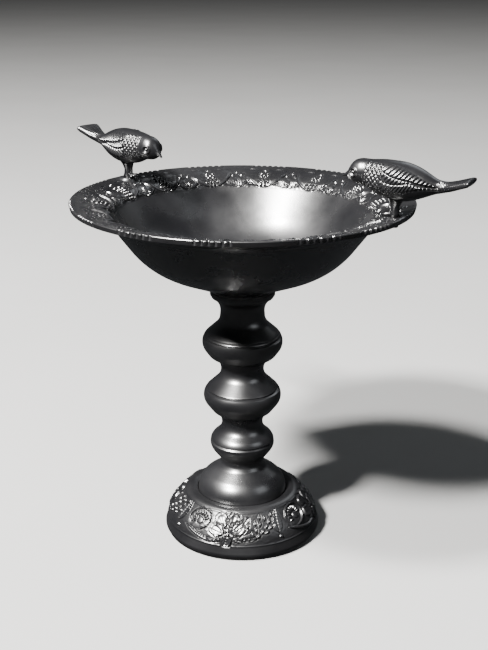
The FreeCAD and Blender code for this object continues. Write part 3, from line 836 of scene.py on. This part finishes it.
def bird_pieces():
    """Torso, leg, toes and eyes of a level bird, as (points, faces, relief, whether it pitches)."""
    x, y, z = torso_frame()
    normal = skin_normals(x, y, z)
    height = feathers(x, y, z)
    skin = np.stack([x, y, z], -1) + normal * height[..., None]
    torso = skin.reshape(-1, 3)
    faces = grid_faces(TORSO_ROWS, TORSO_COLUMNS, False)
    front, back = len(torso), len(torso) + 1
    torso = np.vstack([torso, skin[0].mean(axis=0), skin[-1].mean(axis=0)])
    last = (TORSO_ROWS - 1) * TORSO_COLUMNS
    # the caps at the beak's tip and the tail's end, which are wound against the skin
    for j in range(TORSO_COLUMNS):
        k = (j + 1) % TORSO_COLUMNS
        faces += [(front, j, k), (back, last + k, last + j)]
    relief = np.append(BIRD_RELIEF + height.ravel() / BIRD_SPAN, (BIRD_RELIEF, BIRD_RELIEF))
    limbs = [limb([(0, 0, 0.2), (0.5, 0, 6), (1, 0, 14), (0, 0, 22), (-1, 0, 32)], (9, 7.6, 7.2, 9.5, 15))]
    for swing in (-22, 0, 22):
        c, s = math.cos(math.radians(swing)), math.sin(math.radians(swing))
        toe = [(-4, 0, 3.2), (4, 4 * s, 4.4)]
        toe += [(reach * c, reach * s, rise) for reach, rise in ((10, 3.6), (15, 3.0), (18, 2.1))]
        limbs.append(limb(toe, (2.6, 3.6, 3.0, 2.6, 1.2)))
    limbs.append(limb([(0, 0, 3.2), (-6, 0, 3.4), (-11, 0, 2.4)], (3.4, 2.9, 1.3)))
    eyes = [ball((EYE[0], side * (EYE[1] - EYE_SUNK), EYE[2]), EYE_RADIUS) for side in (-1, 1)]
    pieces = [(torso, faces, relief, True)]
    for group, pitches in ((limbs, False), (eyes, True)):
        pieces += [(points, mesh, np.full(len(points), LIMB_RELIEF), pitches) for points, mesh in group]
    return pieces


def pitched(points, degrees):
    """Turn points nose-down about the hip."""
    c, s = math.cos(math.radians(degrees)), math.sin(math.radians(degrees))
    x, y, z = points.T
    z = z - HIP_HEIGHT
    return np.column_stack([x * c + z * s, y, z * c - x * s + HIP_HEIGHT])


def make_birds():
    """Both birds, cast to one pattern, at their places on the rim."""
    pieces = bird_pieces()
    made = {}
    for name, bird in BIRDS.items():
        vertices, faces, relief = [], [], []
        turn = math.radians(bird["heading"])
        east, north = standing_point(bird)
        count = 0
        for points, piece_faces, proud, pitches in pieces:
            points = pitched(points, bird["pitch"]) if pitches else points
            x, y, z = points.T
            east_points = east + x * math.cos(turn) - y * math.sin(turn)
            north_points = north + x * math.sin(turn) + y * math.cos(turn)
            vertices.append(np.column_stack([east_points, north_points, z + RIM_TOP]))
            faces += [tuple(count + k for k in face) for face in piece_faces]
            relief.append(proud)
            count += len(points)
        made[name] = add_mesh(f"{name}_casting", np.vstack(vertices), faces, sharp_degrees=0)
        set_relief(made[name], np.concatenate(relief))
    return made


# ---------------------------------------------------------------- paint, steel and rubber

DEEP_BLACK = (0.002, 0.002, 0.0024)
FADED_BLACK = (0.0035, 0.0035, 0.004)
POLISHED_BLACK = (0.005, 0.005, 0.0055)
DUST = (0.010, 0.0095, 0.0085)


def material(name):
    """New node material, with its tree, its principled shader and the object's own coordinates."""
    made = bpy.data.materials.new(name)
    made.use_nodes = True
    tree = made.node_tree
    return made, tree, tree.nodes["Principled BSDF"], tree.nodes.new("ShaderNodeTexCoord")


def noise(tree, place, scale, detail, rough=0.5):
    """Noise fixed to the object, with its scale in cells per metre."""
    node = tree.nodes.new("ShaderNodeTexNoise")
    node.inputs["Scale"].default_value = scale
    node.inputs["Detail"].default_value = detail
    node.inputs["Roughness"].default_value = rough
    tree.links.new(place.outputs["Object"], node.inputs["Vector"])
    return node.outputs["Fac"]


def ranged(tree, value, low, high, to_low, to_high):
    """A value mapped from one range to another."""
    node = tree.nodes.new("ShaderNodeMapRange")
    for socket, number in zip(("From Min", "From Max", "To Min", "To Max"), (low, high, to_low, to_high)):
        node.inputs[socket].default_value = number
    tree.links.new(value, node.inputs["Value"])
    return node.outputs["Result"]


def mixed(tree, factor, first, second):
    """Blend of two colours, each a number triple or a socket."""
    node = tree.nodes.new("ShaderNodeMix")
    node.data_type = "RGBA"
    for socket, colour in ((node.inputs[6], first), (node.inputs[7], second)):
        if isinstance(colour, tuple):
            socket.default_value = (*colour, 1)
        else:
            tree.links.new(colour, socket)
    tree.links.new(factor, node.inputs[0])
    return node.outputs[2]


def arithmetic(tree, operation, first, second):
    """A maths node on two values, each a number or a socket."""
    node = tree.nodes.new("ShaderNodeMath")
    node.operation = operation
    for socket, value in zip(node.inputs, (first, second)):
        if isinstance(value, (int, float)):
            socket.default_value = value
        else:
            tree.links.new(value, socket)
    return node.outputs[0]


def bump(tree, height, distance_mm, strength, under=None):
    """Bumped normal, over another one where it is given."""
    node = tree.nodes.new("ShaderNodeBump")
    node.inputs["Distance"].default_value = distance_mm * MM
    node.inputs["Strength"].default_value = strength
    tree.links.new(height, node.inputs["Height"])
    if under:
        tree.links.new(under, node.inputs["Normal"])
    return node.outputs["Normal"]


def satin_black(name, roughness, pebble=0.5, shine=1.0, relief=False):
    """Satin black paint: orange-peel surface, faint dust in low places and polish on raised ones."""
    made, tree, shader, place = material(name)
    patches = noise(tree, place, 14, 4)
    specks = noise(tree, place, 260, 5, 0.6)
    peel = noise(tree, place, 700, 3, 0.55)
    wobble = noise(tree, place, 45, 2)
    tone = mixed(tree, ranged(tree, patches, 0.35, 0.65, 0, 1), DEEP_BLACK, FADED_BLACK)
    dust = ranged(tree, specks, 0.55, 0.8, 0, 0.35)
    gloss = ranged(tree, patches, 0.3, 0.7, roughness - 0.04, roughness + 0.05)
    if relief:
        proud = tree.nodes.new("ShaderNodeAttribute")
        proud.attribute_name = "relief"
        low = ranged(tree, proud.outputs["Fac"], 0.05, 0.4, 1, 0)
        high = ranged(tree, proud.outputs["Fac"], 0.55, 1.0, 0, 1)
        dust = arithmetic(tree, "ADD", dust, arithmetic(tree, "MULTIPLY", low, 0.25))
        tone = mixed(tree, high, tone, POLISHED_BLACK)
        gloss = arithmetic(tree, "SUBTRACT", gloss, arithmetic(tree, "MULTIPLY", high, 0.07))
        gloss = arithmetic(tree, "ADD", gloss, arithmetic(tree, "MULTIPLY", low, 0.12))
    colour = mixed(tree, dust, tone, DUST)
    tree.links.new(colour, shader.inputs["Base Color"])
    tree.links.new(gloss, shader.inputs["Roughness"])
    normal = bump(tree, wobble, 0.5, 0.25)
    normal = bump(tree, peel, 0.12, pebble, normal)
    tree.links.new(normal, shader.inputs["Normal"])
    shader.inputs["Specular IOR Level"].default_value = shine
    return made


def zinc():
    """Zinc-plated steel with a fine turned grain."""
    made, tree, shader, place = material("zinc_plated_steel")
    blotch = noise(tree, place, 120, 4)
    colour = mixed(tree, blotch, (0.50, 0.50, 0.49), (0.68, 0.68, 0.64))
    tree.links.new(colour, shader.inputs["Base Color"])
    tree.links.new(ranged(tree, blotch, 0.3, 0.7, 0.28, 0.45), shader.inputs["Roughness"])
    tree.links.new(bump(tree, noise(tree, place, 1500, 2), 0.05, 0.4), shader.inputs["Normal"])
    shader.inputs["Metallic"].default_value = 1
    return made


def black_steel():
    """Blackened steel with a faint mottle."""
    made, tree, shader, place = material("blackened_steel")
    blotch = noise(tree, place, 200, 4)
    colour = mixed(tree, blotch, (0.02, 0.02, 0.02), (0.045, 0.043, 0.04))
    tree.links.new(colour, shader.inputs["Base Color"])
    tree.links.new(ranged(tree, blotch, 0.3, 0.7, 0.4, 0.6), shader.inputs["Roughness"])
    shader.inputs["Metallic"].default_value = 0.6
    return made


def rubber():
    """Matt black rubber with a fine moulded grain."""
    made, tree, shader, place = material("moulded_rubber")
    fine = noise(tree, place, 900, 3)
    colour = mixed(tree, fine, (0.012, 0.012, 0.012), (0.026, 0.026, 0.026))
    tree.links.new(colour, shader.inputs["Base Color"])
    tree.links.new(ranged(tree, fine, 0.3, 0.7, 0.75, 0.95), shader.inputs["Roughness"])
    tree.links.new(bump(tree, fine, 0.1, 0.5), shader.inputs["Normal"])
    return made


def paint(obj, made):
    """Give an object one material."""
    obj.data.materials.clear()
    obj.data.materials.append(made)


# ---------------------------------------------------------------- the object


def place_piece(obj, body, slot, made, *nodes):
    """Give a piece its material and its CAD body, and hide the CAD nodes that it stands for. The slot is
    not used.
    """
    paint(obj, made)
    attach(obj, body)
    if nodes:
        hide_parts(*nodes)


def build():
    """Make the object: new meshes for the castings, and materials on the CAD pieces that are kept."""
    smooth = satin_black("satin_black_smooth", roughness=0.29)
    dish_paint = satin_black("satin_black_dish", roughness=0.27, pebble=0.35)
    embossed = satin_black("satin_black_embossed", roughness=0.27, pebble=0.3, shine=0.65, relief=True)
    frieze_paint = satin_black("satin_black_frieze", roughness=0.3, pebble=0.3, shine=0.6, relief=True)
    feathered = satin_black("satin_black_feathered", roughness=0.28, pebble=0.2, shine=0.55, relief=True)
    place_piece(make_dish(), "bowl", "satin_black_bowl", dish_paint, "bowl")
    place_piece(make_rim(), "bowl", "satin_black_bowl", embossed, "bowl")
    for node, bird in make_birds().items():
        place_piece(bird, "bowl", "satin_black_bird", feathered, node)
    place_piece(make_foot(), "pedestal", "satin_black_foot", frieze_paint, "foot_ring")
    for node, casting in make_column().items():
        place_piece(casting, "pedestal", "satin_black_column", smooth, node)
    steel = zinc()
    for node in ("clamp_plate", "tie_rod", "lower_washer", "lower_nut", "upper_washer", "upper_nut"):
        paint(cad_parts[node], steel)
    blackened = black_steel()
    for node in ("bird_screws", "bird_washers"):
        paint(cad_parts[node], blackened)
    paint(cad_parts["seat_gasket"], rubber())


# ---------------------------------------------------------------- stage, lights and camera


GROUND_SIZE = 60
GROUND_HEIGHT = -0.0005
AIM_HEIGHT = 0.33
WORLD_STRENGTH = 0.065

WARM_WHITE = (1.0, 0.985, 0.96)
COOL_WHITE = (0.92, 0.96, 1.0)

# Each softbox: azimuth and elevation in degrees, distance and width in metres, watts and colour.
SOFTBOXES = {
    "key": (-44, 47, 7, 0.8, 5000, WARM_WHITE),
    "high": (-63, 60, 7, 0.8, 2800, WARM_WHITE),
    "fill": (60, 35, 5, 2.4, 40, COOL_WHITE),
    "back": (150, 40, 5, 2.4, 35, COOL_WHITE),
}


def make_stage():
    """Plain mid-grey floor, which looks pale under the lights. It lies just below the foot."""
    bpy.ops.mesh.primitive_plane_add(size=GROUND_SIZE, location=(0, 0, GROUND_HEIGHT))
    floor = bpy.context.object
    floor.name = "floor"
    made, tree, shader, place = material("pale_floor")
    soft = noise(tree, place, 1.5, 3)
    colour = mixed(tree, soft, (0.17, 0.17, 0.168), (0.19, 0.19, 0.188))
    tree.links.new(colour, shader.inputs["Base Color"])
    shader.inputs["Roughness"].default_value = 0.9
    floor.data.materials.append(made)
    floor.visible_glossy = False  # black paint outdoors mirrors dark ground, not a bright sweep


def softbox(name, azimuth, elevation, distance, width, watts, colour):
    """Square area light, aimed at the middle of the object."""
    data = bpy.data.lights.new(name, "AREA")
    data.size = width
    data.energy = watts
    data.color = colour
    lamp = bpy.data.objects.new(name, data)
    bpy.context.scene.collection.objects.link(lamp)
    a, e = math.radians(azimuth), math.radians(elevation)
    middle = Vector((0, 0, AIM_HEIGHT))
    offset = (math.cos(e) * math.sin(a), -math.cos(e) * math.cos(a), math.sin(e))
    lamp.location = [start + distance * part for start, part in zip(middle, offset)]
    lamp.rotation_euler = (lamp.location - middle).to_track_quat("Z", "Y").to_euler()


def make_lights():
    """A dim cool surround, and the softboxes."""
    world = bpy.data.worlds.new("studio")
    world.use_nodes = True
    background = world.node_tree.nodes["Background"]
    background.inputs["Color"].default_value = (0.90, 0.95, 1.0, 1)
    background.inputs["Strength"].default_value = WORLD_STRENGTH
    bpy.context.scene.world = world
    for name, settings in SOFTBOXES.items():
        softbox(name, *settings)


# The camera's place in metres, its tilts in degrees, and its lens and sensor in millimetres.
CAMERA_PLACE = (0.0025, -1.74429, 0.968456)
CAMERA_DOWN = 19.011
CAMERA_ROLL = 0.135
CAMERA_LENS = 61.64
CAMERA_SENSOR = 36


def make_camera():
    """Camera at the photograph's viewing angle."""
    data = bpy.data.cameras.new("camera")
    data.sensor_width = CAMERA_SENSOR
    data.lens = CAMERA_LENS
    camera = bpy.data.objects.new("camera", data)
    bpy.context.scene.collection.objects.link(camera)
    camera.location = CAMERA_PLACE
    camera.rotation_mode = "XYZ"
    camera.rotation_euler = (math.radians(90 - CAMERA_DOWN), 0, 0)
    camera.rotation_euler.rotate_axis("Z", math.radians(CAMERA_ROLL))
    bpy.context.scene.camera = camera


build()
make_stage()
make_lights()
make_camera()
